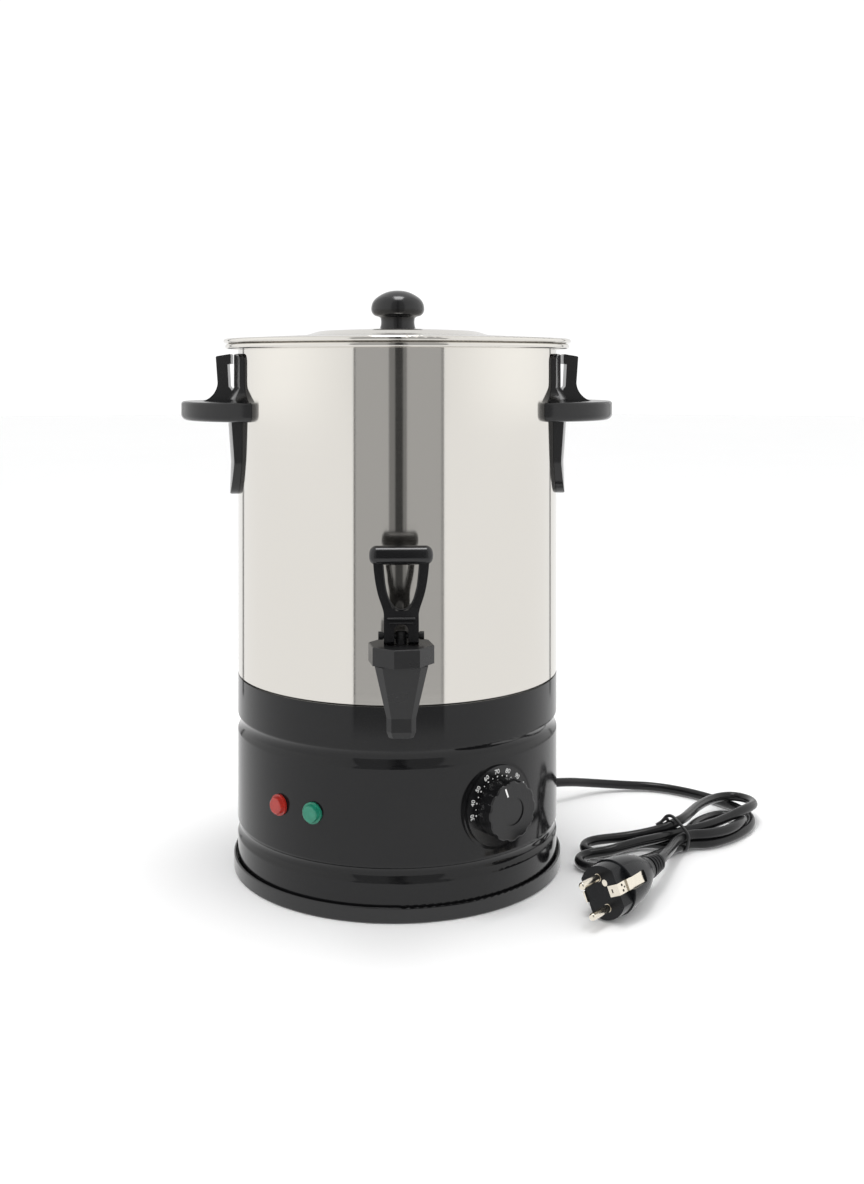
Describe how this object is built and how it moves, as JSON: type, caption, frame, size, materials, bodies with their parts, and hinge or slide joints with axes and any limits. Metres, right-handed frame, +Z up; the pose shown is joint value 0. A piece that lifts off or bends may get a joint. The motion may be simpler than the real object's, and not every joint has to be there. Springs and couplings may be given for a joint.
{
  "type": "hot water boiler",
  "caption": "Countertop hot water boiler: steel vessel with loose lid, side handles, lever tap, thermostat dial and pilot lamps on a black base, with a tied mains cord and plug.",
  "frame": {"origin": "on the vessel's axis, at the underside of the foot ring", "axes": "+Z up, -Y is the front with the tap, +X is the viewer's right seen from the front"},
  "size_m": [0.4419, 0.3156, 0.4111],
  "materials": {
    "vessel_steel": "bright, finely brushed round the body",
    "base_enamel": "glossy black",
    "foot_plastic": "glossy black",
    "grip_plastic": "polished black",
    "tap_plastic": "satin dark grey",
    "scale_print": "semi-gloss black with white figures",
    "red_lens": "translucent red, faceted",
    "green_lens": "translucent green, faceted",
    "white_plastic": "plain moulded",
    "thermostat_case": "dark phenolic",
    "zinc_steel": "zinc-plated",
    "stainless_small": "bright",
    "element_steel": "oxidised tube",
    "plate_aluminium": "as cast",
    "insert_brass": "turned",
    "capillary_copper": "drawn copper",
    "seal_silicone": "silicone",
    "cord_sheath": "smooth black sheath",
    "wire_insulation": "insulated wire",
    "plug_plastic": "moulded black",
    "plug_metal": "nickel-plated",
    "tie_wrap": "coated wire tie"
  },
  "bodies": {
    "root": {"vessel_wall": "vessel_steel", "vessel_floor": "vessel_steel", "base_skirt": "base_enamel", "foot_ring": "foot_plastic", "handle_right": "grip_plastic", "handle_left": "grip_plastic", "tap_body": "tap_plastic", "tap_bonnet": "tap_plastic", "thermostat_scale": "scale_print", "lamp_red_lens": "red_lens", "lamp_green_lens": "green_lens", "lamp_bodies": "white_plastic", "lamp_nuts": "white_plastic", "terminal_block": "white_plastic", "thermostat_body": "thermostat_case", "thermal_cutout": "thermostat_case", "base_plate": "zinc_steel", "base_plate_screws": "zinc_steel", "thermostat_screws": "zinc_steel", "handle_screws": "zinc_steel", "heater_clamp_bar": "zinc_steel", "heater_clamp_nut": "zinc_steel", "heating_element": "element_steel", "diffuser_plate": "plate_aluminium", "handle_inserts": "insert_brass", "tap_shank_nut": "insert_brass", "thermostat_capillary": "capillary_copper", "tap_outer_washer": "seal_silicone", "tap_inner_washer": "seal_silicone", "handle_seal_washers": "seal_silicone", "power_cord": "cord_sheath", "cord_hank": "cord_sheath", "plug_lead": "cord_sheath", "mains_tails": "cord_sheath", "wiring": "wire_insulation", "plug_body": "plug_plastic", "plug_strain_relief": "plug_plastic", "cord_gland": "plug_plastic", "gland_nut": "plug_plastic", "plug_pins": "plug_metal", "plug_earth_clips": "plug_metal", "cord_tie": "tie_wrap"},
    "lid": {"lid": "vessel_steel", "lid_locating_ring": "vessel_steel", "lid_knob": "grip_plastic", "lid_knob_screw": "zinc_steel", "lid_knob_washer": "stainless_small"},
    "stem": {"tap_stem": "tap_plastic", "tap_seat_cup": "seal_silicone", "tap_pivot_pin": "tap_plastic", "tap_spring": "stainless_small"},
    "lever": {"tap_lever": "grip_plastic"},
    "dial": {"thermostat_knob": "grip_plastic", "thermostat_shaft": "zinc_steel"}
  },
  "joints": [
    {"name": "lid_lift", "type": "slide", "parent": "root", "child": "lid", "axis": [0, 0, 1], "range_m": [0, 0.16]},
    {"name": "stem_lift", "type": "slide", "parent": "root", "child": "stem", "axis": [0, 0, 1], "range_m": [0, 0.0031], "deforming": ["tap_spring"]},
    {"name": "lever_pull", "type": "hinge", "parent": "stem", "child": "lever", "pos_m": [0, -0.153, 0.1915], "axis": [1, 0, 0], "range_deg": [0, 50], "stiffness_Nm_per_rad": 0.15, "springref_deg": -5.73},
    {"name": "thermostat_turn", "type": "hinge", "parent": "root", "child": "dial", "pos_m": [0, 0, 0.0675], "axis": [0.5635, -0.8261, 0], "range_deg": [-137, 117]}
  ],
  "couplings": [
    {"joint": "stem_lift", "follows": "lever_pull", "m_per_rad": 0.003438}
  ]
}
